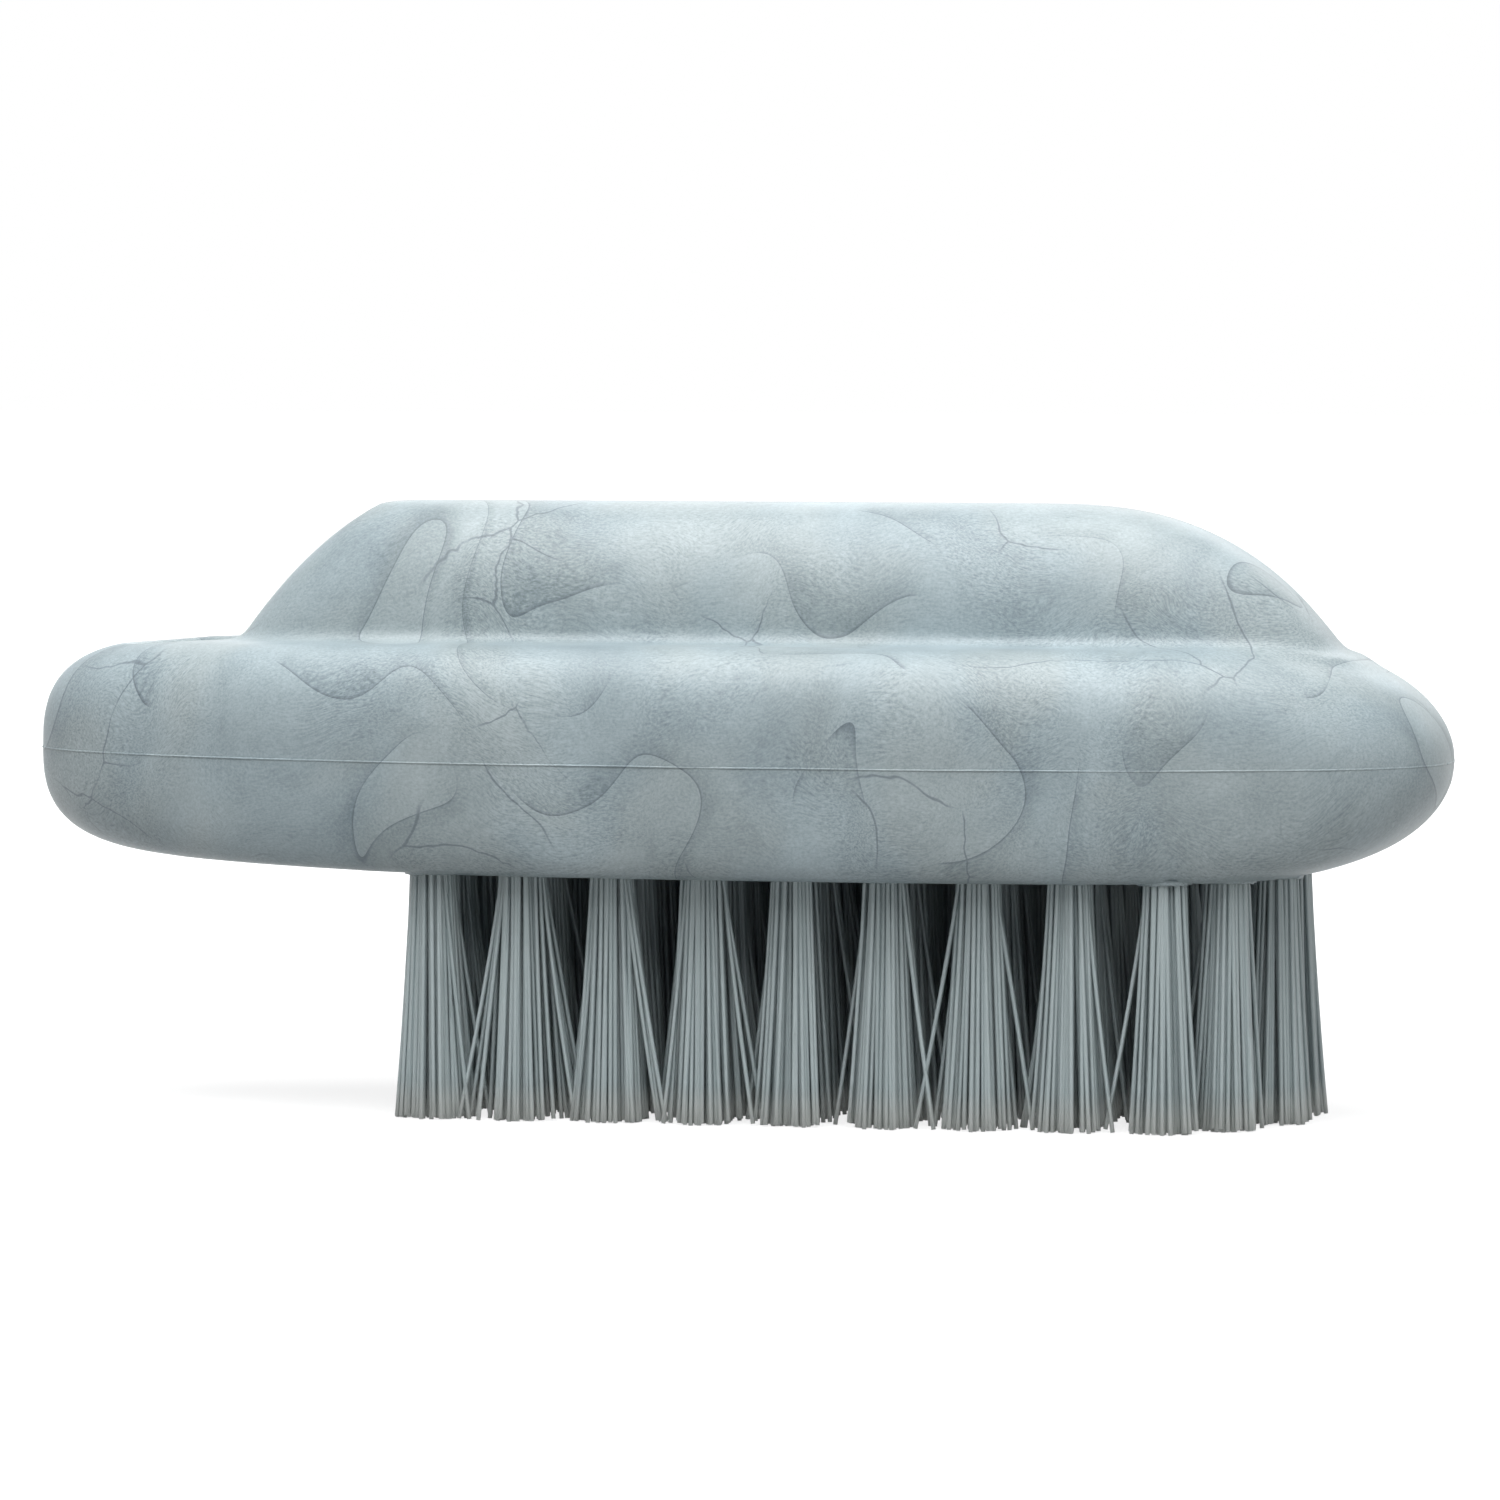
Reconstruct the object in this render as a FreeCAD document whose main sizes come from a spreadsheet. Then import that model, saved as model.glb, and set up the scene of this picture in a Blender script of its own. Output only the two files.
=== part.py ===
# Nail brush: one moulded oval handle with a raised grip rib and a hanging hole, set with bristle tufts.
# Each tuft is a bundle of filaments folded over a flat metal anchor and driven into a blind hole.
# Millimetres, +Z up. X runs from the heel (hanging hole, -X) to the nose (+X). The bristle tips are on Z = 0.
import FreeCAD, Part
import itertools
import math
import os

import Sketcher

Vector = FreeCAD.Vector

# Counts
TUFT_COLUMNS = 9
FINGER_GRIPS = 4

# Tuft rows from the near side to the far side, with their distance from the middle in row pitches
TUFT_ROWS = {"front": -2, "inner_front": -1, "middle": 0, "inner_back": 1, "back": 2}

# Nose tufts, by their place on the ring in steps from its middle
NOSE_RING_PLACES = (-1.5, -0.5, 0.5, 1.5)

# Fineness and degree of the handle's skin, and how much of the underside and the rib's top its caps fill
OUTLINE_POINTS = 120
UNDERSIDE_LEVELS = 4
SIDE_LEVELS = 16
DECK_LEVELS = 2
WALL_LEVELS = 3
EDGE_LEVELS = 6
SKIN_DEGREE = 3
UNDERSIDE_CAP_SHARE = 0.42
TOP_CAP_SHARE = 0.9

# How close to a level an edge has to lie to count as on it
LEVEL_TOLERANCE = 1e-6

# How quickly the deck dips towards the nose, how the handle thins towards the heel, how late the rib's heel
# slope rounds over into its top, and how near the ends the underside's edge opens out into their rounding
NOSE_DIP_POWER = 4
HEEL_TAPER_POWER = 1.5
HEEL_CREST_POWER = 6
UNDER_END_POWER = 3

# The sketcher's own numbers for its two axes, and for the start, end and centre of a curve
LEVEL_AXIS, UPRIGHT_AXIS = -1, -2
START, END, CENTRE = 1, 2, 3

# Driving dimensions in millimetres, degrees where the name says so, and roundness as a superellipse power
SIZES = {
    # Handle outline at the parting line, measured from its widest station
    "heel_reach": 56.0,
    "nose_reach": 46.2,
    "half_width": 18.0,
    "nose_roundness": 2.4,
    # Heights, from the bristle tips up
    "bristle_length": 17.2,
    "lower_depth": 7.95,
    "upper_height": 8.1,
    "rib_height": 9.75,
    # How far the rounding reaches in from the edge: at the heel, at the nose, above the sides and below them
    "heel_round": 10.6,
    "nose_round": 12.9,
    "side_round": 6.0,
    "under_round": 2.6,
    # How square the rounding is at the heel, above the sides and below them
    "heel_squareness": 2.85,
    "upper_squareness": 2.8,
    "under_squareness": 2.85,
    # How much thinner the handle gets towards the heel, above and below
    "deck_fall": 0.45,
    "underside_rise": 1.0,
    # Finger grips along both sides
    "grip_inset": 44.7,
    "grip_pitch": 14.8,
    "grip_depth": 0.7,
    # Grip rib, with its feet measured from the two ends of the handle
    "rib_heel_inset": 15.2,
    "rib_nose_inset": 7.55,
    "rib_half_width": 8.5,
    "rib_roundness": 3.6,
    "rib_edge_height": 8.2,
    "rib_edge_inset": 6.5,
    "rib_heel_angle_deg": 55.5,
    "rib_heel_radius": 39.0,
    "rib_heel_crest": 0.7,
    "rib_nose_angle_deg": 50.0,
    "rib_nose_radius": 21.6,
    "rib_nose_blend": 2.5,
    "rib_foot_round": 1.0,
    # Hanging hole
    "hang_inset": 10.25,
    "hang_radius": 3.0,
    "hang_rim_radius": 2.0,
    "hang_rim_overrun": 0.2,
    # Tuft pattern
    "tuft_inset": 31.8,
    "column_pitch": 6.5,
    "row_pitch": 5.75,
    "nose_ring_setback": 7.65,
    "nose_ring_radius": 14.4,
    "nose_ring_step_deg": 24.0,
    # Tufts and their holes
    "hole_radius": 1.75,
    "hole_depth": 9.0,
    "tuft_neck": 2.0,
    "tip_gap": 0.05,
    "fold_thickness": 1.2,
    "fit_gap": 0.05,
    # Anchors
    "anchor_thickness": 0.4,
    "anchor_height": 1.8,
    "anchor_bite": 0.45,
}

doc = FreeCAD.newDocument("nail_brush")


def make_sheet():
    """The spreadsheet that holds the driving dimensions, one named cell each."""
    sheet = doc.addObject("Spreadsheet::Sheet", "sizes")
    for row, (name, value) in enumerate(SIZES.items(), start=1):
        sheet.set(f"A{row}", name)
        sheet.set(f"B{row}", str(value))
        sheet.setAlias(f"B{row}", name)
    doc.recompute()
    return sheet


sizes = make_sheet()

# Places worked out from the driving dimensions
heel_end = -(sizes.heel_reach + sizes.nose_reach) / 2
nose_end = heel_end + sizes.heel_reach + sizes.nose_reach
widest_x = heel_end + sizes.heel_reach
underside_z = sizes.bristle_length
parting_z = underside_z + sizes.lower_depth
deck_z = parting_z + sizes.upper_height
taper_start_x = widest_x - UNDERSIDE_CAP_SHARE * (sizes.heel_reach - sizes.heel_round)
heel_foot = heel_end + sizes.rib_heel_inset
nose_foot = nose_end - sizes.rib_nose_inset
hole_end_z = underside_z + sizes.hole_depth
root_radius = sizes.hole_radius - sizes.fit_gap
fold_z = hole_end_z - sizes.fit_gap
anchor_top_z = fold_z - sizes.fold_thickness


# Sketch helpers

def sketch_in(body, name, plane_role):
    """An empty sketch on one of the body's own origin planes."""
    plane = next(f for f in body.Origin.OriginFeatures if f.Role == plane_role)
    sketch = body.newObject("Sketcher::SketchObject", name)
    sketch.AttachmentSupport = (plane, [""])
    sketch.MapMode = "FlatFace"
    return sketch


def place_point(sketch, curve, end, x_rule=None, y_rule=None):
    """Fixes a curve's end at coordinates given by expressions on the sheet."""
    for kind, rule in (("DistanceX", x_rule), ("DistanceY", y_rule)):
        if rule is not None:
            point = sketch.getPoint(curve, end)
            value = point.x if kind == "DistanceX" else point.y
            number = sketch.addConstraint(Sketcher.Constraint(kind, -1, 1, curve, end, value))
            sketch.setExpression(f"Constraints[{number}]", rule)


def turn_solid(body, name, sketch):
    """The solid that a half-section makes when it is turned about the upright axis."""
    turned = body.newObject("PartDesign::Revolution", name)
    turned.Profile = sketch
    turned.ReferenceAxis = (sketch, ["V_Axis"])
    turned.Angle = 360
    return turned


# Handle skin

def grip_dent(x):
    """How far the finger grips draw the side in at a station along the handle."""
    turns = (x - heel_end - sizes.grip_inset) / sizes.grip_pitch
    if -0.5 < turns < FINGER_GRIPS - 0.5:
        return sizes.grip_depth * math.cos(math.pi * turns) ** 2
    return 0.0


def signed_power(value, power):
    """A cosine or sine raised to a power, with its sign kept."""
    return math.copysign(abs(value) ** power, value)


def heel_taper(x):
    """How far the handle's thinning has gone at a station: nothing at its start, 1 at the heel's end."""
    return max((taper_start_x - x) / (taper_start_x - heel_end), 0.0) ** HEEL_TAPER_POWER


def edge_form(along, lift):
    """How far the rounding reaches in along the handle and across it, and how square it is."""
    end_round = sizes.nose_round if along > 0 else sizes.heel_round
    squareness = 2 + (sizes.heel_squareness - 2) * max(-along, 0.0) ** 2
    sideward = 1 - along**2
    if lift > 0:
        return end_round, sizes.side_round, squareness + (sizes.upper_squareness - 2) * sideward
    opened = (end_round - sizes.under_round) * abs(along) ** UNDER_END_POWER
    return sizes.under_round + opened, sizes.under_round, squareness + (sizes.under_squareness - 2) * sideward


def side_point(turn, lift):
    """A point of the rounded side, at an angle round the outline and an angle up from the parting line."""
    along, across = math.cos(turn), math.sin(turn)
    end_round, side_round, squareness = edge_form(along, lift)
    roundness = 2 / squareness
    drawn_in = 1 - math.cos(lift) ** roundness
    if along > 0:
        reach, power = sizes.nose_reach, 2 / sizes.nose_roundness
    else:
        reach, power = sizes.heel_reach, 1.0
    half = sizes.half_width - side_round * drawn_in
    x = widest_x + (reach - end_round * drawn_in) * signed_power(along, power)
    dent = grip_dent(x) * math.cos(lift) ** 2
    y = half * signed_power(across, power) - dent * across
    if lift > 0:
        height = sizes.upper_height - sizes.deck_fall * heel_taper(x)
    else:
        height = sizes.lower_depth - sizes.underside_rise * heel_taper(x)
    return Vector(x, y, parting_z + height * signed_power(math.sin(lift), roundness))


def underside_point(turn, share):
    """A point of the underside, at an angle round it and a share of the way from the middle to its edge."""
    edge = side_point(turn, -math.pi / 2)
    x = widest_x + (edge.x - widest_x) * share
    return Vector(x, edge.y * share, underside_z + sizes.underside_rise * heel_taper(x))


def dipped_lift(turn, inset):
    """A quarter turn of lift, but less towards the nose, where it stops a given distance in from the end."""
    nose_lift = math.acos(1 - inset / sizes.nose_round)
    noseward = max(math.cos(turn), 0.0) ** NOSE_DIP_POWER
    return math.pi / 2 + (nose_lift - math.pi / 2) * noseward


def deck_edge(turn):
    """The end of the rounded side, level with the deck but short of the rib at the nose."""
    return side_point(turn, dipped_lift(turn, sizes.rib_nose_inset - sizes.rib_nose_blend))


def rib_heel_x(rise):
    """X of the rib's rounded heel slope at a height above the deck."""
    angle = math.radians(sizes.rib_heel_angle_deg)
    centre_x = heel_foot + sizes.rib_heel_radius * math.sin(angle)
    centre_drop = sizes.rib_heel_radius * math.cos(angle)
    crest = sizes.rib_heel_crest * (rise / sizes.rib_height) ** HEEL_CREST_POWER
    return centre_x + crest - math.sqrt(sizes.rib_heel_radius**2 - (rise + centre_drop) ** 2)


def rib_nose_x(rise):
    """X of the rib's nose slope at a height above the deck: straight, then turning over into the top."""
    angle = math.radians(sizes.rib_nose_angle_deg)
    turn_rise = sizes.rib_height - sizes.rib_nose_radius * (1 - math.cos(angle))
    if rise < turn_rise:
        return nose_foot - rise / math.tan(angle)
    centre_x = nose_foot - turn_rise / math.tan(angle) - sizes.rib_nose_radius * math.sin(angle)
    over = sizes.rib_nose_radius - (sizes.rib_height - rise)
    return centre_x + math.sqrt(sizes.rib_nose_radius**2 - over**2)


def rib_point(turn, rise, flare=0.0, edge_turn=0.0):
    """A point of the rib, at an angle round it, a height above its foot and a turn of its upper edge."""
    along, across = math.cos(turn), math.sin(turn)
    power = 2 / sizes.rib_roundness
    end = rib_nose_x(rise) + flare if along > 0 else rib_heel_x(rise) - flare
    half = sizes.rib_half_width + flare - sizes.rib_edge_inset * (1 - math.cos(edge_turn))
    x = widest_x + abs(end - widest_x) * signed_power(along, power)
    nose_dip = sizes.upper_height * (1 - math.sin(dipped_lift(turn, sizes.rib_nose_inset)))
    sunk = (nose_dip + sizes.deck_fall * heel_taper(x)) * (1 - rise / sizes.rib_height)
    return Vector(x, half * signed_power(across, power), deck_z + rise - sunk)


def skin_column(turn):
    """The skin's points at one angle round the handle, from the underside up to the top of the rib."""
    quarter = math.pi / 2
    edge_lift = dipped_lift(turn, sizes.rib_nose_inset - sizes.rib_nose_blend)
    beyond_cap = (1 - UNDERSIDE_CAP_SHARE) / UNDERSIDE_LEVELS
    base = [underside_point(turn, UNDERSIDE_CAP_SHARE + beyond_cap * i) for i in range(UNDERSIDE_LEVELS)]
    lower = [side_point(turn, quarter * (i / SIDE_LEVELS - 1)) for i in range(SIDE_LEVELS)]
    upper = [side_point(turn, edge_lift * i / SIDE_LEVELS) for i in range(SIDE_LEVELS + 1)]
    flared = rib_point(turn, 0.0, sizes.rib_foot_round)
    across_deck = flared - deck_edge(turn)
    deck = [deck_edge(turn) + across_deck * (i / (DECK_LEVELS + 1)) for i in range(1, DECK_LEVELS + 1)]
    foot = [flared, rib_point(turn, 0.0), rib_point(turn, sizes.rib_foot_round)]
    wall_low = sizes.rib_foot_round
    wall_rise = sizes.rib_height - sizes.rib_edge_height - wall_low
    wall = [rib_point(turn, wall_low + wall_rise * i / WALL_LEVELS) for i in range(1, WALL_LEVELS)]
    edge = []
    for i in range(EDGE_LEVELS + 1):
        turned = quarter * i / EDGE_LEVELS
        rise = sizes.rib_height - sizes.rib_edge_height * (1 - math.sin(turned))
        edge.append(rib_point(turn, rise, 0.0, turned))
    top_rim = edge[-1]
    cap_rim = Vector(widest_x + (top_rim.x - widest_x) * TOP_CAP_SHARE, top_rim.y * TOP_CAP_SHARE, top_rim.z)
    return base + lower + upper + deck + foot + wall + edge + [cap_rim]


def skin_patch(surface, turns, levels):
    """One patch of the skin, between two places round it and two levels up it."""
    patch = surface.copy()
    patch.segment(turns[0], turns[1], levels[0], levels[1])
    return patch.toShape()


def flat_cap(patches, z):
    """The flat face that closes the skin at one level."""
    rims = []
    for edge in itertools.chain.from_iterable(patch.Edges for patch in patches):
        box = edge.BoundBox
        if max(abs(box.ZMin - z), abs(box.ZMax - z)) < LEVEL_TOLERANCE:
            rims.append(edge)
    return Part.Face(Part.Wire(Part.__sortEdges__(rims)))


def make_block():
    """The handle without its holes: a smooth skin in four patches, with flat caps below and on the rib."""
    step = 2 * math.pi / OUTLINE_POINTS
    columns = [skin_column(math.pi / 2 + step * (i - 1)) for i in range(OUTLINE_POINTS)]
    round_knots = list(range(OUTLINE_POINTS + 1))
    up_knots = list(range(len(columns[0]) - SKIN_DEGREE + 1))
    round_counts = [1] * len(round_knots)
    up_counts = [SKIN_DEGREE + 1] + [1] * (len(up_knots) - 2) + [SKIN_DEGREE + 1]
    surface = Part.BSplineSurface()
    surface.buildFromPolesMultsKnots(
        columns, round_counts, up_counts, round_knots, up_knots, True, False, SKIN_DEGREE, SKIN_DEGREE
    )
    half_round = OUTLINE_POINTS // 2
    split_level = UNDERSIDE_LEVELS + SIDE_LEVELS // 2
    halves = [(0, half_round), (half_round, OUTLINE_POINTS)]
    lower = [skin_patch(surface, half, (0, split_level)) for half in halves]
    upper = [skin_patch(surface, half, (split_level, up_knots[-1])) for half in halves]
    caps = [flat_cap(lower, underside_z), flat_cap(upper, deck_z + sizes.rib_height)]
    shell = Part.Compound(lower + upper + caps)
    shell.sewShape()
    block = doc.addObject("Part::Feature", "block")
    block.Shape = Part.Solid(Part.Shell(shell.Faces))
    return block


# Hanging hole

def make_hang_hole():
    """The cutter for the hanging hole: a straight bore with a rounded rim at both mouths."""
    body = doc.addObject("PartDesign::Body", "hang_hole")
    sketch = sketch_in(body, "hang_hole_half_section", "XZ_Plane")
    bore, rim = sizes.hang_radius, sizes.hang_rim_radius
    thinned = heel_taper(heel_end + sizes.hang_inset)
    low = underside_z + sizes.underside_rise * thinned - sizes.hang_rim_overrun
    high = deck_z - sizes.deck_fall * thinned + sizes.hang_rim_overrun
    up = Vector(0, 0, 1)
    low_circle = Part.Circle(Vector(bore + rim, low + rim), up, rim)
    high_circle = Part.Circle(Vector(bore + rim, high - rim), up, rim)
    curves = [
        Part.LineSegment(Vector(0, high), Vector(0, low)),
        Part.LineSegment(Vector(0, low), Vector(bore + rim, low)),
        Part.ArcOfCircle(low_circle, math.pi, 1.5 * math.pi),
        Part.LineSegment(Vector(bore, low + rim), Vector(bore, high - rim)),
        Part.ArcOfCircle(high_circle, 0.5 * math.pi, math.pi),
        Part.LineSegment(Vector(bore + rim, high), Vector(0, high)),
    ]
    axis, floor, low_rim, wall, high_rim, ceiling = sketch.addGeometry(curves, False)
    joints = [
        (axis, END, floor, START),
        (floor, END, low_rim, END),
        (low_rim, START, wall, START),
        (wall, END, high_rim, END),
        (high_rim, START, ceiling, START),
        (ceiling, END, axis, START),
    ]
    for joint in joints:
        sketch.addConstraint(Sketcher.Constraint("Coincident", *joint))
    for tip in (START, END):
        sketch.addConstraint(Sketcher.Constraint("PointOnObject", axis, tip, UPRIGHT_AXIS))
    deck_rule = "sizes.bristle_length + sizes.lower_depth + sizes.upper_height"
    low_rule = f"sizes.bristle_length + sizes.underside_rise * {thinned} - sizes.hang_rim_overrun"
    high_rule = f"{deck_rule} - sizes.deck_fall * {thinned} + sizes.hang_rim_overrun"
    mouth_rule = "sizes.hang_radius + sizes.hang_rim_radius"
    place_point(sketch, axis, START, None, high_rule)
    place_point(sketch, axis, END, None, low_rule)
    place_point(sketch, floor, END, mouth_rule, low_rule)
    place_point(sketch, low_rim, CENTRE, mouth_rule, f"{low_rule} + sizes.hang_rim_radius")
    place_point(sketch, wall, START, None, f"{low_rule} + sizes.hang_rim_radius")
    place_point(sketch, wall, END, None, f"{high_rule} - sizes.hang_rim_radius")
    place_point(sketch, high_rim, CENTRE, mouth_rule, f"{high_rule} - sizes.hang_rim_radius")
    place_point(sketch, ceiling, START, mouth_rule, high_rule)
    turn_solid(body, "hang_hole_turned", sketch)
    body.setExpression("Placement.Base.x", "sizes.hang_inset - (sizes.heel_reach + sizes.nose_reach) / 2")
    return body


# Tufts

def tuft_places():
    """Where each tuft stands, by name: straight rows, and a ring that rounds off the nose end."""
    first_x = heel_end + sizes.tuft_inset
    places = {}
    for row, steps in TUFT_ROWS.items():
        for column in range(TUFT_COLUMNS):
            x = first_x + column * sizes.column_pitch
            places[f"tuft_{row}_{column + 1}"] = Vector(x, steps * sizes.row_pitch, 0)
    ring_x = first_x + (TUFT_COLUMNS - 1) * sizes.column_pitch - sizes.nose_ring_setback
    for number, steps in enumerate(NOSE_RING_PLACES, start=1):
        angle = math.radians(steps * sizes.nose_ring_step_deg)
        outward = Vector(math.cos(angle), math.sin(angle), 0)
        places[f"tuft_nose_{number}"] = Vector(ring_x, 0, 0) + outward * sizes.nose_ring_radius
    return places


def make_tuft():
    """One tuft: spread at the tips, round in its hole, domed over the fold and slotted for its anchor."""
    body = doc.addObject("PartDesign::Body", "one_tuft")
    sketch = sketch_in(body, "tuft_half_section", "XZ_Plane")
    neck_z, dome_z = underside_z - sizes.tuft_neck, fold_z - root_radius
    corners = [(0, 0), (tip_radius, 0), (root_radius, neck_z), (root_radius, dome_z)]
    points = [Vector(x, z) for x, z in corners]
    dome_circle = Part.Circle(Vector(0, dome_z), Vector(0, 0, 1), root_radius)
    curves = [
        Part.LineSegment(points[0], points[1]),
        Part.LineSegment(points[1], points[2]),
        Part.LineSegment(points[2], points[3]),
        Part.ArcOfCircle(dome_circle, 0, 0.5 * math.pi),
        Part.LineSegment(Vector(0, fold_z), points[0]),
    ]
    tips, flare, root, dome, axis = sketch.addGeometry(curves, False)
    for first, second in ((tips, flare), (flare, root), (root, dome), (dome, axis), (axis, tips)):
        sketch.addConstraint(Sketcher.Constraint("Coincident", first, END, second, START))
    for curve, tip in ((axis, START), (axis, END), (dome, CENTRE)):
        sketch.addConstraint(Sketcher.Constraint("PointOnObject", curve, tip, UPRIGHT_AXIS))
    sketch.addConstraint(Sketcher.Constraint("DistanceX", -1, START, tips, END, tip_radius))
    root_rule = "sizes.hole_radius - sizes.fit_gap"
    fold_rule = "sizes.bristle_length + sizes.hole_depth - sizes.fit_gap"
    sketch.addConstraint(Sketcher.Constraint("Horizontal", tips))
    sketch.addConstraint(Sketcher.Constraint("PointOnObject", tips, END, LEVEL_AXIS))
    place_point(sketch, flare, END, root_rule, "sizes.bristle_length - sizes.tuft_neck")
    place_point(sketch, root, END, root_rule, f"{fold_rule} - ({root_rule})")
    place_point(sketch, dome, CENTRE, None, f"{fold_rule} - ({root_rule})")
    turn_solid(body, "tuft_turned", sketch)
    cut_anchor_slot(body)
    return body


def cut_anchor_slot(body):
    """Cuts the slot that the anchor's middle fills, right through the tuft along X."""
    sketch = sketch_in(body, "anchor_slot_outline", "YZ_Plane")
    half = sizes.anchor_thickness / 2 + sizes.fit_gap
    low, high = anchor_top_z - sizes.anchor_height - sizes.fit_gap, anchor_top_z + sizes.fit_gap
    corners = [Vector(-half, low), Vector(half, low), Vector(half, high), Vector(-half, high)]
    curves = [Part.LineSegment(a, b) for a, b in zip(corners, corners[1:] + corners[:1])]
    floor, right, roof, left = sketch.addGeometry(curves, False)
    for first, second in ((floor, right), (right, roof), (roof, left), (left, floor)):
        sketch.addConstraint(Sketcher.Constraint("Coincident", first, END, second, START))
    for curve in (floor, roof):
        sketch.addConstraint(Sketcher.Constraint("Horizontal", curve))
    for curve in (right, left):
        sketch.addConstraint(Sketcher.Constraint("Vertical", curve))
    half_rule = "sizes.anchor_thickness / 2 + sizes.fit_gap"
    top_rule = "sizes.bristle_length + sizes.hole_depth - sizes.fit_gap - sizes.fold_thickness"
    place_point(sketch, floor, START, f"-({half_rule})", f"{top_rule} - sizes.anchor_height - sizes.fit_gap")
    place_point(sketch, right, END, half_rule, f"{top_rule} + sizes.fit_gap")
    slot = body.newObject("PartDesign::Pocket", "anchor_slot")
    slot.Profile = sketch
    slot.Type = "ThroughAll"
    slot.SideType = "Symmetric"


# Holes, slits and anchors

def make_hole(name, place):
    """The blind hole for one tuft, begun below the underside so that it opens through any rounding too."""
    hole = doc.addObject("Part::Cylinder", f"hole_for_{name}")
    hole.setExpression("Radius", "sizes.hole_radius")
    hole.setExpression("Height", "sizes.hole_depth + sizes.tuft_neck")
    hole.Placement.Base = place + Vector(0, 0, underside_z - sizes.tuft_neck)
    return hole


def make_strip(name, place, room):
    """A flat strip across one tuft's hole that bites into the plastic at both ends, with room all round."""
    strip = doc.addObject("Part::Box", name)
    strip.setExpression("Length", f"2 * (sizes.hole_radius + sizes.anchor_bite + {room})")
    strip.setExpression("Width", f"sizes.anchor_thickness + 2 * {room}")
    strip.setExpression("Height", f"sizes.anchor_height + 2 * {room}")
    doc.recompute([strip])
    low = anchor_top_z + sizes.anchor_height / 2 - strip.Height.Value / 2 - sizes.anchor_height
    strip.Placement.Base = place + Vector(-strip.Length.Value / 2, -strip.Width.Value / 2, low)
    return strip


def gather(name, pieces):
    """One group of separate solids."""
    group = doc.addObject("Part::Compound", name)
    group.Links = pieces
    return group


def cut(name, base, tool):
    """What is left of one object when another is cut out of it."""
    left = doc.addObject("Part::Cut", name)
    left.Base = base
    left.Tool = tool
    return left


# Assembly

places = tuft_places()
closest = min((a - b).Length for a, b in itertools.combinations(places.values(), 2))
tip_radius = closest / 2 - sizes.tip_gap

tuft_holes = gather("tuft_holes", [make_hole(name, place) for name, place in places.items()])
slits = gather("anchor_slits", [make_strip(f"slit_{n}", p, "sizes.fit_gap") for n, p in places.items()])
anchors = gather("anchors", [make_strip(f"anchor_{n}", p, "0 * sizes.fit_gap") for n, p in places.items()])
hung_block = cut("block_with_hang_hole", make_block(), make_hang_hole())
holed_block = cut("block_with_tuft_holes", hung_block, tuft_holes)
handle = cut("handle", holed_block, slits)
one_tuft = make_tuft()
doc.recompute()

sub_parts = [handle, anchors]
for name, place in places.items():
    tuft = doc.addObject("Part::Feature", name)
    tuft.Shape = one_tuft.Shape.copy()
    tuft.Placement.Base = place
    sub_parts.append(tuft)
doc.recompute()

# Every object has to be sound before anything is written
for item in doc.Objects:
    if "Invalid" in item.State or "Error" in item.State:
        raise RuntimeError(f"{item.Label} did not build: {item.State}")
for part in sub_parts:
    if part.Shape.isNull() or not part.Shape.isValid():
        raise RuntimeError(f"{part.Label} has no sound shape")

os.makedirs("parts", exist_ok=True)
for part in sub_parts:
    part.Shape.exportStep(os.path.join("parts", f"{part.Label}.step"))
print(f"{len(sub_parts)} nodes, {len(places)} tufts, tip radius {tip_radius:.3f} mm")
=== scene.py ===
import math
import random

import bmesh
import bpy
import numpy as np
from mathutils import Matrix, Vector


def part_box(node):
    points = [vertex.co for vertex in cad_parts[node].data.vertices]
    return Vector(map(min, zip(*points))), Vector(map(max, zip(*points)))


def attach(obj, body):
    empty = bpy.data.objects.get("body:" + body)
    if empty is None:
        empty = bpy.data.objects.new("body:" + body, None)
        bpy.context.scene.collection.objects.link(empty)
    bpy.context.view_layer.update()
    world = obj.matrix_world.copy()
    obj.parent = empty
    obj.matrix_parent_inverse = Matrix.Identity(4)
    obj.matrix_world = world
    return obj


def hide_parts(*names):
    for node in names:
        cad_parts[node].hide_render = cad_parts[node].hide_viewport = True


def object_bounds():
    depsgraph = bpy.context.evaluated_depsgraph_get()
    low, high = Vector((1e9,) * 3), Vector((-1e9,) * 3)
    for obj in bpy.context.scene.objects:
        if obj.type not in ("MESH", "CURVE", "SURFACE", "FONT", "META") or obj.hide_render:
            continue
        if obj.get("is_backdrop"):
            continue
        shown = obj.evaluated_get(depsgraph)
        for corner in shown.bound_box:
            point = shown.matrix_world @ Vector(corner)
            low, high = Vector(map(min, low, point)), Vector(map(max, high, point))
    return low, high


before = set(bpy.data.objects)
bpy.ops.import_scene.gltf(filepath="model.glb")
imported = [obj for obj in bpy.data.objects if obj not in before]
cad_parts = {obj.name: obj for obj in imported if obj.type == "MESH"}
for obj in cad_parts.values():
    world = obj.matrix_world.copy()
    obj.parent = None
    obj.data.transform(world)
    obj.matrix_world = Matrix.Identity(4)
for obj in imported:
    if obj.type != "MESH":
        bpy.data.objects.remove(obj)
cad_low, cad_high = (Vector(corner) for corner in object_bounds())

# Everything is in metres, in the frame of the solids; sizes are written in millimetres times MM
MM = 0.001
PARTING_HEIGHT = 7.95 * MM
handle_low, handle_high = (Vector(corner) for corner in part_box("handle"))
underside_z = handle_low.z
parting_z = underside_z + PARTING_HEIGHT
anchor_top_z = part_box("anchors")[1][2]
tuft_nodes = sorted(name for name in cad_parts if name.startswith("tuft_"))

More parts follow.
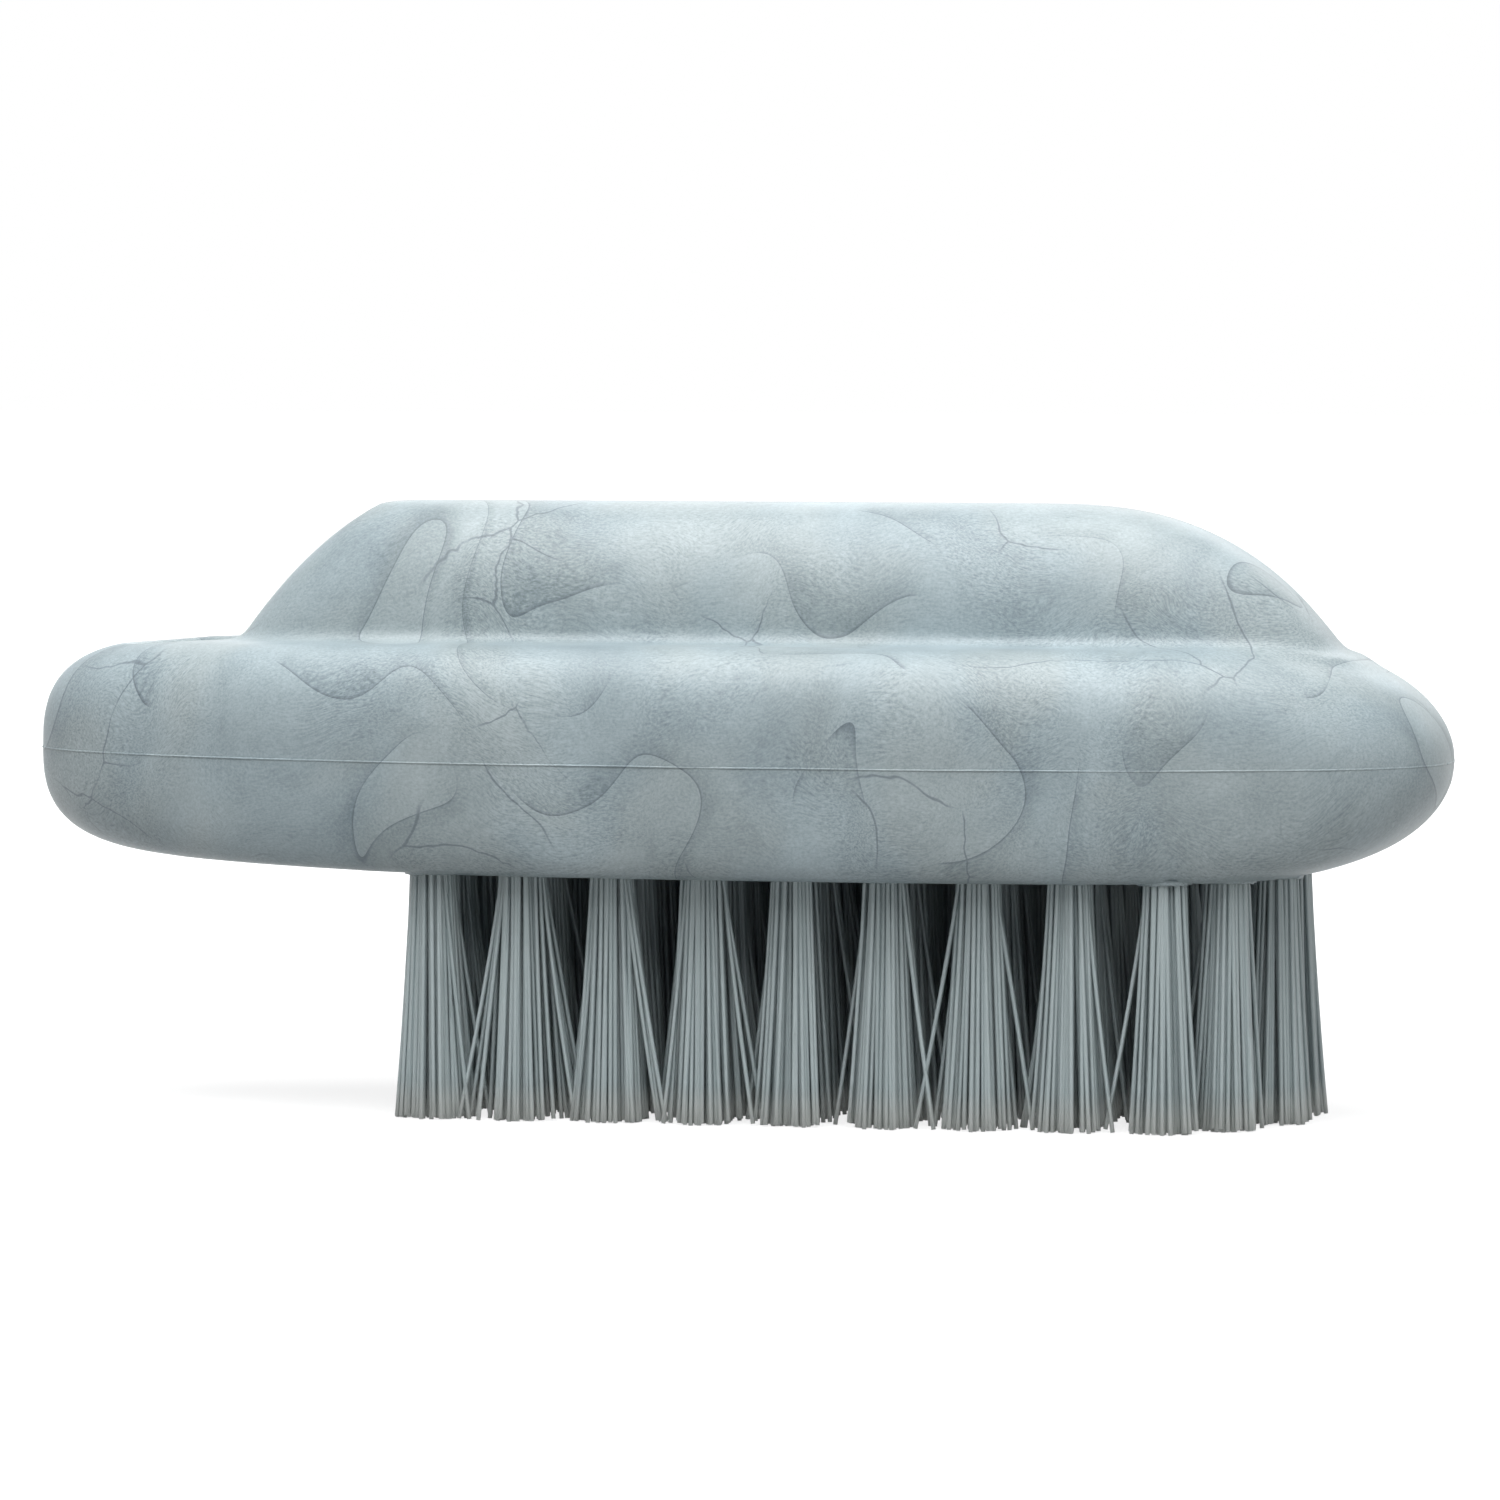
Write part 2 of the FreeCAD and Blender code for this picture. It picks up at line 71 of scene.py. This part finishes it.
# Photograph's view
VIEW_AZIMUTH = math.radians(12.4)
VIEW_ELEVATION = math.radians(3.2)
VIEW_DISTANCE = 600 * MM
VIEW_AIM = Vector((0.92, 0.23, 25.4)) * MM
VIEW_LENS = 203.0
SENSOR_WIDTH = 36.0
NEAREST_SEEN = 10 * MM


# Node helpers

# Numbers of the mix node's sockets for colours
MIX_FACTOR, MIX_FIRST, MIX_SECOND, MIX_RESULT = 0, 6, 7, 2

# The value that a noise varies about
NOISE_MIDDLE = 0.5


class Nodes:
    """Builds a node tree: most calls make a node, set or join its inputs and give its output."""

    def __init__(self, tree):
        self.tree = tree
        tree.nodes.clear()

    def add(self, kind, inputs=None, **settings):
        node = self.tree.nodes.new(kind)
        for name, value in settings.items():
            setattr(node, name, value)
        for key, value in (inputs or {}).items():
            if isinstance(value, bpy.types.NodeSocket):
                self.tree.links.new(value, node.inputs[key])
            else:
                node.inputs[key].default_value = value
        return node

    def math(self, operation, *values):
        return self.add("ShaderNodeMath", dict(enumerate(values)), operation=operation).outputs[0]

    def vector(self, operation, first, second, output=0):
        return self.add("ShaderNodeVectorMath", {0: first, 1: second}, operation=operation).outputs[output]

    def scaled(self, vector, factor):
        values = {0: vector, "Scale": factor}
        return self.add("ShaderNodeVectorMath", values, operation="SCALE").outputs[0]

    def place(self):
        """Position in millimetres in the part's own frame."""
        return self.scaled(self.add("ShaderNodeTexCoord").outputs["Object"], 1 / MM)

    def noise(self, vector, scale, detail=1.0, roughness=0.5, output="Fac"):
        values = {"Vector": vector, "Scale": scale, "Detail": detail, "Roughness": roughness}
        return self.add("ShaderNodeTexNoise", values).outputs[output]

    def pushed(self, vector, scale, reach):
        """A position moved about by a noise of the given scale, by up to half of reach each way."""
        colour = self.noise(vector, scale, output="Color")
        centred = self.vector("SUBTRACT", colour, (NOISE_MIDDLE, NOISE_MIDDLE, NOISE_MIDDLE))
        return self.vector("ADD", vector, self.scaled(centred, reach))

    def ramp(self, value, low, high, low_out=0.0, high_out=1.0):
        """A smooth change from one output to the other as the value goes from low to high."""
        values = {"Value": value, "From Min": low, "From Max": high, "To Min": low_out, "To Max": high_out}
        return self.add("ShaderNodeMapRange", values, interpolation_type="SMOOTHSTEP").outputs[0]

    def fall(self, value, low, high):
        """1 up to low, falling smoothly to 0 at high."""
        return self.ramp(value, low, high, low_out=1.0, high_out=0.0)

    def mix(self, factor, first, second):
        values = {MIX_FACTOR: factor, MIX_FIRST: first, MIX_SECOND: second}
        return self.add("ShaderNodeMix", values, data_type="RGBA").outputs[MIX_RESULT]

    def added(self, value, weight, total):
        """The total with a weighted value added to it."""
        return self.math("MULTIPLY_ADD", value, weight, total)

    def sway(self, value, weight, total):
        """The total with a noise value's departure from its middle added to it."""
        return self.added(self.math("SUBTRACT", value, NOISE_MIDDLE), weight, total)

    def bump(self, height, strength, distance):
        values = {"Height": height, "Strength": strength, "Distance": distance}
        return self.add("ShaderNodeBump", values).outputs[0]

    def finish(self, **inputs):
        """Ends the tree with a principled surface."""
        named = {name.replace("_", " "): value for name, value in inputs.items()}
        surface = self.add("ShaderNodeBsdfPrincipled", named)
        self.add("ShaderNodeOutputMaterial", {"Surface": surface.outputs[0]})


def new_material(name):
    material = bpy.data.materials.new(name)
    material.use_nodes = True
    return material, Nodes(material.node_tree)


def grey(level):
    return (level, level, level, 1.0)


def screen_colour(red, green, blue):
    """A colour given as the 0 to 255 values that a screen shows, as the renderer's own values."""
    def channel(value):
        share = value / 255
        return share / 12.92 if share <= 0.04045 else ((share + 0.055) / 1.055) ** 2.4
    return (channel(red), channel(green), channel(blue), 1.0)


# Materials, with their scales per millimetre

# How fast the flow lines follow one another along each axis, and with the noise that bends them
FLOW_DRIFT = (0.045, 0.03, 0.05)
FLOW_BENDS = 6.0

# Width of a flow line and of the shade beside it, as shares of the way to the next line
FLOW_LINE_SHARE = 0.03
FLOW_SHADE_SHARE = 0.35

# Scale of the cells that ragged lines run between, the lines' width in a cell, and that of their dark core
RAGGED_SCALE = 0.085
RAGGED_WIDTH = 0.0095
RAGGED_CORE = 0.25 * RAGGED_WIDTH

# How gradually a line is lost at its ends, how strongly it colours the plastic, and how deep it is cut
LINE_FADE = 0.09
LINE_STRENGTH = 0.55
LINE_DEPTH = 0.5

# How closely the detail of each material is packed along each axis
FLECK_PACKING = (1.8, 7.0, 7.0)
STREAK_PACKING = (3.0, 3.0, 0.25)
SCRATCH_PACKING = (0.4, 9.0, 9.0)


def shown_stretches(shader, place, scale, above):
    """1 on the stretches where a kind of line shows, fading to 0 where it is lost in the plastic."""
    return shader.ramp(shader.noise(place, scale, detail=2.0), above, above + LINE_FADE)


def flow_lines(shader, flow, place):
    """Long dark arcs along the flow, and the soft shade on one side of each."""
    drift = shader.vector("DOT_PRODUCT", flow, FLOW_DRIFT, output="Value")
    past_line = shader.math("FRACT", shader.added(shader.noise(flow, scale=0.055), FLOW_BENDS, drift))
    shown = shown_stretches(shader, place, scale=0.08, above=0.42)
    line = shader.math("MULTIPLY", shader.fall(past_line, low=0.0, high=FLOW_LINE_SHARE), shown)
    shade = shader.math("MULTIPLY", shader.fall(past_line, low=0.0, high=FLOW_SHADE_SHARE), shown)
    return line, shade


def ragged_lines(shader, place):
    """Fine ragged lines that branch between cells of the marbling."""
    bent = shader.pushed(place, scale=0.07, reach=13.0)
    ragged = shader.pushed(bent, scale=0.6, reach=0.7)
    cells = {"Vector": ragged, "Scale": RAGGED_SCALE}
    border = shader.add("ShaderNodeTexVoronoi", cells, feature="DISTANCE_TO_EDGE").outputs["Distance"]
    line = shader.fall(border, low=RAGGED_CORE, high=RAGGED_WIDTH)
    return shader.math("MULTIPLY", line, shown_stretches(shader, place, scale=0.1, above=0.52))


def pearl_plastic():
    """Marbled grey plastic: swirls, a fine pearl fleck that follows the flow, and broken dark flow lines."""
    material, shader = new_material("pearl_plastic")
    place = shader.place()
    flow = shader.pushed(place, scale=0.05, reach=13.0)
    curl = shader.pushed(flow, scale=0.16, reach=4.5)

    arc, shade = flow_lines(shader, flow, place)
    lines = shader.math("MAXIMUM", arc, ragged_lines(shader, place))
    cloud = shader.noise(curl, scale=0.13, detail=4.0, roughness=0.6)
    drawn_out = shader.vector("MULTIPLY", curl, FLECK_PACKING)
    fleck = shader.noise(drawn_out, scale=1.2, detail=3.0, roughness=0.7)
    grain = shader.noise(place, scale=5.0, detail=2.0, roughness=0.6)
    tint = shader.noise(flow, scale=0.09, detail=2.0)
    patches = shader.noise(flow, scale=0.11, detail=2.0)
    streaked = shader.ramp(patches, low=0.38, high=0.62, low_out=0.8, high_out=1.9)

    tone = shader.sway(cloud, weight=1.15, total=0.6)
    tone = shader.sway(fleck, weight=streaked, total=tone)
    tone = shader.sway(grain, weight=0.7, total=tone)
    tone = shader.added(shade, weight=-0.25, total=tone)
    cool = shader.mix(tone, screen_colour(110, 125, 132), screen_colour(171, 186, 191))
    warm = shader.mix(tone, screen_colour(113, 127, 131), screen_colour(174, 186, 189))
    base = shader.mix(shader.ramp(tint, low=0.4, high=0.6), cool, warm)
    colour = shader.mix(shader.math("MULTIPLY", lines, LINE_STRENGTH), base, screen_colour(76, 88, 99))

    relief = shader.math("SUBTRACT", fleck, shader.math("MULTIPLY", lines, LINE_DEPTH))
    shader.finish(
        Base_Color=colour,
        Roughness=shader.added(fleck, weight=0.25, total=0.3),
        Normal=shader.bump(relief, strength=0.15, distance=0.05 * MM),
        IOR=1.48,
    )
    return material


def nylon_filament():
    """Grey nylon monofilament: each filament has its own tone, and the tips near the floor are painted
    paler, a painted glow for the light that the white floor throws up on them and that passes through the
    nylon.
    """
    material, shader = new_material("nylon_filament")
    place = shader.place()
    own_tone = shader.add("ShaderNodeNewGeometry").outputs["Random Per Island"]
    height = shader.add("ShaderNodeSeparateXYZ", {0: place}).outputs["Z"]
    drawn_out = shader.vector("MULTIPLY", place, STREAK_PACKING)
    streak = shader.noise(drawn_out, scale=1.0, detail=2.0)
    tone = shader.added(own_tone, weight=0.7, total=shader.math("MULTIPLY", streak, 0.3))
    body = shader.mix(tone, screen_colour(156, 169, 171), screen_colour(180, 192, 194))
    # Painted light: the lowest 3 mm of each filament is painted paler, a painted glow standing in for light
    # bounced up from the floor
    painted_tip_glow = shader.ramp(height, low=0.3, high=3.0, low_out=0.95, high_out=0.0)
    shader.finish(
        Base_Color=shader.mix(painted_tip_glow, body, screen_colour(236, 241, 238)),
        Roughness=shader.added(streak, weight=0.2, total=0.3),
        Normal=shader.bump(streak, strength=0.1, distance=0.02 * MM),
        IOR=1.53,
    )
    return material


def anchor_steel():
    """Drawn steel strip with fine lengthwise scratches."""
    material, shader = new_material("anchor_steel")
    drawn_out = shader.vector("MULTIPLY", shader.place(), SCRATCH_PACKING)
    scratch = shader.noise(drawn_out, scale=1.0, detail=3.0)
    shader.finish(
        Base_Color=shader.mix(scratch, screen_colour(172, 172, 170), screen_colour(205, 203, 200)),
        Metallic=1.0,
        Roughness=shader.added(scratch, weight=0.25, total=0.22),
        Normal=shader.bump(scratch, strength=0.2, distance=0.02 * MM),
    )
    return material


# Pieces

def add_piece(name, mesh, material, slot, *nodes):
    """Puts a mesh in the scene as a piece that rides with the brush and stands for the named solids."""
    mesh.materials.clear()
    mesh.materials.append(material)
    piece = bpy.data.objects.new(name, mesh)
    bpy.context.scene.collection.objects.link(piece)
    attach(piece, "root")
    if nodes:
        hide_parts(*nodes)


def mesh_from(name, points, faces):
    """A smooth-shaded mesh with its faces turned outward, kept inside the box of the solids."""
    inside = np.clip(np.array(points), np.array(cad_low), np.array(cad_high))
    mesh = bpy.data.meshes.new(name)
    mesh.from_pydata(inside.tolist(), [], faces)
    turned = bmesh.new()
    turned.from_mesh(mesh)
    bmesh.ops.recalc_face_normals(turned, faces=turned.faces[:])
    turned.to_mesh(mesh)
    turned.free()
    mesh.shade_smooth()
    return mesh


def ring_faces(rings, sides, closed):
    """Faces that join rings of points one after the other; a closed run also joins the last to the first."""
    faces = []
    for ring in range(rings if closed else rings - 1):
        low, high = ring * sides, (ring + 1) % rings * sides
        for i in range(sides):
            j = (i + 1) % sides
            faces.append((low + i, low + j, high + j, high + i))
    return faces


def even_turns(count):
    """Angles spread evenly over one full turn."""
    return 2 * np.pi * np.arange(count) / count


# Handle

SHELL_VOXEL = 0.445 * MM
SHELL_SMOOTHING = 4


def make_handle(material):
    """The moulded handle: the solid's form with its edges softened as a moulding's are."""
    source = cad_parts["handle"].data.copy()
    holder = bpy.data.objects.new("holder", source)
    bpy.context.scene.collection.objects.link(holder)
    remesh = holder.modifiers.new("even_mesh", "REMESH")
    remesh.mode = "VOXEL"
    remesh.voxel_size = SHELL_VOXEL
    remesh.use_smooth_shade = True
    smooth = holder.modifiers.new("soft_edges", "SMOOTH")
    smooth.iterations = SHELL_SMOOTHING
    bpy.context.view_layer.update()
    shell = bpy.data.meshes.new_from_object(holder.evaluated_get(bpy.context.evaluated_depsgraph_get()))
    bpy.data.objects.remove(holder)
    shell.name = "handle_shell"
    add_piece("handle_shell", shell, material, "handle_plastic", "handle")
    return shell


# Parting line

PARTING_RADIUS = 0.07 * MM
PARTING_SIDES = 8
PARTING_SEED = 7

# How far the line stands out as a share of its radius, and how that wanders from point to point
PARTING_LEAST = 0.2
PARTING_START = 0.5
PARTING_WANDER = 0.12
PARTING_LOWEST = 0.15

# Points on the outline, and how much longer than wide it is
OUTLINE_POINTS = 300
OUTLINE_STRETCH = (handle_high.x - handle_low.x) / (handle_high.y - handle_low.y)


def outline_at(shell, z):
    """The shell's outer outline at one height, as points in order round it."""
    cutter = bmesh.new()
    cutter.from_mesh(shell)
    everything = cutter.verts[:] + cutter.edges[:] + cutter.faces[:]
    cut = bmesh.ops.bisect_plane(cutter, geom=everything, plane_co=(0, 0, z), plane_no=(0, 0, 1))
    edges = [item for item in cut["geom_cut"] if isinstance(item, bmesh.types.BMEdge)]
    outer = {}
    for vert in {vert for edge in edges for vert in edge.verts}:
        x, y = vert.co.xy
        turn = math.atan2(y * OUTLINE_STRETCH, x)
        step = round(turn * OUTLINE_POINTS / (2 * math.pi))
        reach = math.hypot(x, y)
        if step not in outer or reach > outer[step][0]:
            outer[step] = (reach, turn)
    cutter.free()
    reaches, turns = np.array(sorted(outer.values(), key=lambda pair: pair[1])).T
    stretched = even_turns(OUTLINE_POINTS)
    even_reaches = np.interp(stretched, turns, reaches, period=2 * np.pi)
    angles = np.arctan2(np.sin(stretched), np.cos(stretched) * OUTLINE_STRETCH)
    return np.stack([even_reaches * np.cos(angles), even_reaches * np.sin(angles)], axis=1)


def make_parting_line(shell, material):
    """The fine raised line where the two halves of the mould met."""
    outline = outline_at(shell, parting_z)
    along = np.roll(outline, -1, axis=0) - np.roll(outline, 1, axis=0)
    along /= np.linalg.norm(along, axis=1)[:, None]
    outward = np.stack([along[:, 1], -along[:, 0]], axis=1)
    rng = random.Random(PARTING_SEED)
    points = []
    size = PARTING_START
    for (x, y), (out_x, out_y) in zip(outline, outward):
        size = min(max(size + rng.gauss(0, PARTING_WANDER), PARTING_LOWEST), 1.0)
        reach = PARTING_RADIUS * (PARTING_LEAST + (1 - PARTING_LEAST) * size)
        for turn in even_turns(PARTING_SIDES):
            out = reach * math.cos(turn)
            points.append((x + out_x * out, y + out_y * out, parting_z + PARTING_RADIUS * math.sin(turn)))
    mesh = mesh_from("parting_line", points, ring_faces(len(outline), PARTING_SIDES, closed=True))
    add_piece("parting_line", mesh, material, "handle_plastic")


# Hole mouths

MOUTH_INNER = 1.77 * MM
MOUTH_LIP = 1.9 * MM
MOUTH_FOOT = 2.0 * MM
MOUTH_HEIGHT = 0.4 * MM
MOUTH_STEPS = 40
MOUTH_SEED = 21

# How unevenly the lip stands out, and how far it hangs down at least and at most
LIP_UNEVEN = 0.05 * MM
LIP_HANG_LEAST, LIP_HANG_MOST = 0.01 * MM, 0.12 * MM


def tuft_centre(node):
    """The middle of a tuft as seen from above, at the height of the floor."""
    low, high = (Vector(corner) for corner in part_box(node))
    return Vector(((low.x + high.x) / 2, (low.y + high.y) / 2, 0))


def make_mouths(material):
    """The slightly rough lip that drilling leaves round each hole's mouth."""
    rng = random.Random(MOUTH_SEED)
    high = underside_z + MOUTH_HEIGHT
    points, faces = [], []
    for node in tuft_nodes:
        centre = tuft_centre(node)
        start = len(points)
        for turn in even_turns(MOUTH_STEPS):
            lip = MOUTH_LIP + rng.uniform(-LIP_UNEVEN, LIP_UNEVEN)
            low = underside_z - rng.uniform(LIP_HANG_LEAST, LIP_HANG_MOST)
            section = ((MOUTH_INNER, low), (lip, low), (MOUTH_FOOT, high), (MOUTH_INNER, high))
            for radius, z in section:
                points.append((centre.x + radius * math.cos(turn), centre.y + radius * math.sin(turn), z))
        rings = ring_faces(MOUTH_STEPS, len(section), closed=True)
        faces += [tuple(start + i for i in face) for face in rings]
    add_piece("hole_mouths", mesh_from("hole_mouths", points, faces), material, "handle_plastic")


# Filaments

FILAMENT_RADIUS = 0.16 * MM
FILAMENT_SIDES = 6
LOOPS_PER_TUFT = 54
FIRST_TUFT_SEED = 1000
ROOT_RADIUS = 1.7 * MM
TIP_RADIUS = 2.85 * MM
LEG_STEPS = 6

# How far the tips are scattered sideways and upward, and how much a leg bows on its way
TIP_SCATTER = 0.17 * MM
TIP_UNEVEN = 0.13 * MM
MEAN_BOW, BOW_SPREAD = 0.1, 0.1

# The straight stretch inside the hole's mouth, and the fold over the anchor
STRAIGHT_ROOT = 0.3 * MM
ANCHOR_CLEARANCE = 0.3 * MM
FOLD_ROOM = 1.1 * MM
FOLD_STEPS = 4

# Legs that stray sideways: their share of those far from the tuft's middle, how far that is, and their reach
STRAY_SHARE = 0.22
STRAY_EDGE = 0.95 * MM
STRAY_LEAST, STRAY_MOST = 0.5 * MM, 2.3 * MM
STRAY_SCATTER = 0.5 * MM

# A leg strays only towards a neighbouring tuft, not out of the pattern's ends
TUFT_ROOM = 6.0 * MM
pattern_low = min(tuft_centre(node).x for node in tuft_nodes)
pattern_high = max(tuft_centre(node).x for node in tuft_nodes)


def leg_points(mouth, centre, rng):
    """Points of one leg from its tip up to the anchor, leaving the hole at the given place."""
    scatter = Vector((rng.gauss(0, TIP_SCATTER), rng.gauss(0, TIP_SCATTER)))
    tip = mouth * (TIP_RADIUS / ROOT_RADIUS) + scatter
    side = math.copysign(1, mouth.x)
    has_room = pattern_low <= centre.x + side * TUFT_ROOM <= pattern_high
    if has_room and abs(mouth.x) > STRAY_EDGE and rng.random() < STRAY_SHARE:
        tip += Vector((side * rng.uniform(STRAY_LEAST, STRAY_MOST), rng.gauss(0, STRAY_SCATTER)))
    tip_z = abs(rng.gauss(0, TIP_UNEVEN))
    bow = rng.gauss(MEAN_BOW, BOW_SPREAD)
    points = []
    for i in range(LEG_STEPS):
        share = 1 - i / LEG_STEPS
        across = mouth + (tip - mouth) * (share + bow * share * (share - 1))
        points.append((across.x, across.y, tip_z + (underside_z - tip_z) * (1 - share)))
    points.append((mouth.x, mouth.y, underside_z + STRAIGHT_ROOT))
    points.append((mouth.x, mouth.y, anchor_top_z))
    return [Vector(point) + centre for point in points]


def loop_path(centre, rng):
    """One filament: up one leg, over the anchor and down the other leg."""
    limit = ROOT_RADIUS - FILAMENT_RADIUS
    while True:
        x = rng.uniform(-limit, limit)
        y = rng.uniform(ANCHOR_CLEARANCE, limit)
        if math.hypot(x, y) < limit:
            break
    near = leg_points(Vector((x, -y)), centre, rng)
    far = leg_points(Vector((x, y)), centre, rng)
    fold = []
    for i in range(1, FOLD_STEPS):
        turn = math.pi * i / FOLD_STEPS
        rise = FOLD_ROOM * (y / limit) * math.sin(turn)
        fold.append(centre + Vector((x, -y * math.cos(turn), anchor_top_z + rise)))
    return near + fold + far[::-1]


def tube(path):
    """Points and faces of one filament along a path whose sideways direction stays near X."""
    points = np.array(path)
    along = np.gradient(points, axis=0)
    along /= np.linalg.norm(along, axis=1)[:, None]
    side = np.array([1.0, 0.0, 0.0]) - along * along[:, :1]
    side /= np.linalg.norm(side, axis=1)[:, None]
    other = np.cross(along, side)
    turns = even_turns(FILAMENT_SIDES)[None, :, None]
    offsets = np.cos(turns) * side[:, None] + np.sin(turns) * other[:, None]
    rings = points[:, None] + FILAMENT_RADIUS * offsets
    faces = ring_faces(len(points), FILAMENT_SIDES, closed=False)
    last = (len(points) - 1) * FILAMENT_SIDES
    faces.append(tuple(reversed(range(FILAMENT_SIDES))))
    faces.append(tuple(range(last, last + FILAMENT_SIDES)))
    return rings.reshape(-1, 3), faces


def make_tuft(node, number, material):
    """A tuft's filaments, each one a separate loop folded over the anchor."""
    rng = random.Random(FIRST_TUFT_SEED + number)
    centre = tuft_centre(node)
    points, faces = [], []
    for _ in range(LOOPS_PER_TUFT):
        ring, band = tube(loop_path(centre, rng))
        start = len(points)
        points.extend(ring)
        faces += [tuple(start + i for i in face) for face in band]
    name = f"{node}_filaments"
    add_piece(name, mesh_from(name, points, faces), material, "bristle_nylon", node)


# Stage, light and camera

FLOOR_HALF = 3.0
FLOOR_LEVEL = -0.02 * MM
WORLD_LEVEL = 0.16

# The floor's own glow near the brush and far from it, in the picture, and where one turns into the other
NEAR_GLOW, FAR_GLOW = 0.8, 1.0
NEAR_REACH, FAR_REACH = 0.07, 0.2

# How pale the floor is to the light in the picture, and to the light that it throws back on the brush
SHOWN_PALENESS = 0.3
BOUNCE_PALENESS = 0.28


def shown_rays(shader):
    """1 for the rays that show the background: straight from the camera, mirrored or through glass."""
    path = shader.add("ShaderNodeLightPath").outputs
    seen = shader.math("MAXIMUM", path["Is Camera Ray"], path["Is Glossy Ray"])
    return shader.math("MAXIMUM", seen, path["Is Transmission Ray"])


def make_floor():
    """A white floor that keeps a soft shadow near the brush."""
    material, shader = new_material("floor")
    position = shader.add("ShaderNodeTexCoord").outputs["Object"]
    reach = shader.add("ShaderNodeVectorMath", {0: position}, operation="LENGTH").outputs["Value"]
    strength = shader.ramp(reach, NEAR_REACH, FAR_REACH, NEAR_GLOW, FAR_GLOW)
    lit = shader.add("ShaderNodeBsdfDiffuse", {"Color": grey(SHOWN_PALENESS)})
    glow = shader.add("ShaderNodeEmission", {"Color": grey(1.0), "Strength": strength})
    shown = shader.add("ShaderNodeAddShader", {0: lit.outputs[0], 1: glow.outputs[0]})
    bounce = shader.add("ShaderNodeBsdfDiffuse", {"Color": grey(BOUNCE_PALENESS)})
    parts = {0: shown_rays(shader), 1: bounce.outputs[0], 2: shown.outputs[0]}
    both = shader.add("ShaderNodeMixShader", parts)
    shader.add("ShaderNodeOutputMaterial", {"Surface": both.outputs[0]})
    corners = ((-1, -1), (1, -1), (1, 1), (-1, 1))
    points = [(x * FLOOR_HALF, y * FLOOR_HALF, FLOOR_LEVEL) for x, y in corners]
    mesh = bpy.data.meshes.new("floor")
    mesh.from_pydata(points, [], [(0, 1, 2, 3)])
    mesh.materials.append(material)
    floor = bpy.data.objects.new("floor", mesh)
    bpy.context.scene.collection.objects.link(floor)
    floor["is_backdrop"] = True


def make_world():
    """White behind the brush, and an even grey light from all round it."""
    world = bpy.data.worlds.new("world")
    world.use_nodes = True
    bpy.context.scene.world = world
    shader = Nodes(world.node_tree)
    around = shader.add("ShaderNodeBackground", {"Color": grey(1.0), "Strength": WORLD_LEVEL})
    behind = shader.add("ShaderNodeBackground", {"Color": grey(1.0), "Strength": 1.0})
    parts = {0: shown_rays(shader), 1: around.outputs[0], 2: behind.outputs[0]}
    both = shader.add("ShaderNodeMixShader", parts)
    shader.add("ShaderNodeOutputWorld", {"Surface": both.outputs[0]})


def add_panel(name, place, size, radiance):
    """A square soft light that faces the brush, with the brightness of its face given."""
    light = bpy.data.lights.new(name, "AREA")
    light.shape = "SQUARE"
    light.size = size
    light.energy = radiance * math.pi * size**2
    panel = bpy.data.objects.new(name, light)
    panel.location = place
    panel.rotation_euler = (VIEW_AIM - Vector(place)).to_track_quat("-Z", "Y").to_euler()
    bpy.context.scene.collection.objects.link(panel)


def make_lights():
    """Soft panels all round the brush, the brightest above it and in front."""
    add_panel("top_light", place=(0.0, -0.1, 0.7), size=0.7, radiance=4.0)
    add_panel("front_light", place=(0.05, -0.62, 0.72), size=0.7, radiance=2.6)
    add_panel("left_light", place=(-0.75, -0.35, 0.3), size=0.5, radiance=0.4)
    add_panel("right_light", place=(0.75, -0.35, 0.3), size=0.5, radiance=1.2)
    add_panel("back_light", place=(0.0, 0.75, 0.5), size=0.6, radiance=1.2)


def make_camera():
    """A camera at the photograph's viewing angle."""
    camera = bpy.data.cameras.new("camera")
    camera.lens = VIEW_LENS
    camera.sensor_width = SENSOR_WIDTH
    camera.clip_start = NEAREST_SEEN
    direction = Vector((
        math.sin(VIEW_AZIMUTH) * math.cos(VIEW_ELEVATION),
        -math.cos(VIEW_AZIMUTH) * math.cos(VIEW_ELEVATION),
        math.sin(VIEW_ELEVATION),
    ))
    holder = bpy.data.objects.new("camera", camera)
    holder.location = VIEW_AIM + direction * VIEW_DISTANCE
    holder.rotation_euler = (-direction).to_track_quat("-Z", "Y").to_euler()
    bpy.context.scene.collection.objects.link(holder)
    bpy.context.scene.camera = holder


make_camera()
make_world()
make_floor()
make_lights()
plastic = pearl_plastic()
handle_shell = make_handle(plastic)
make_parting_line(handle_shell, plastic)
make_mouths(plastic)
nylon = nylon_filament()
for number, node in enumerate(tuft_nodes):
    make_tuft(node, number, nylon)
steel = anchor_steel()
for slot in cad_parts["anchors"].material_slots:
    slot.material = steel
bpy.context.scene.view_settings.view_transform = "Standard"
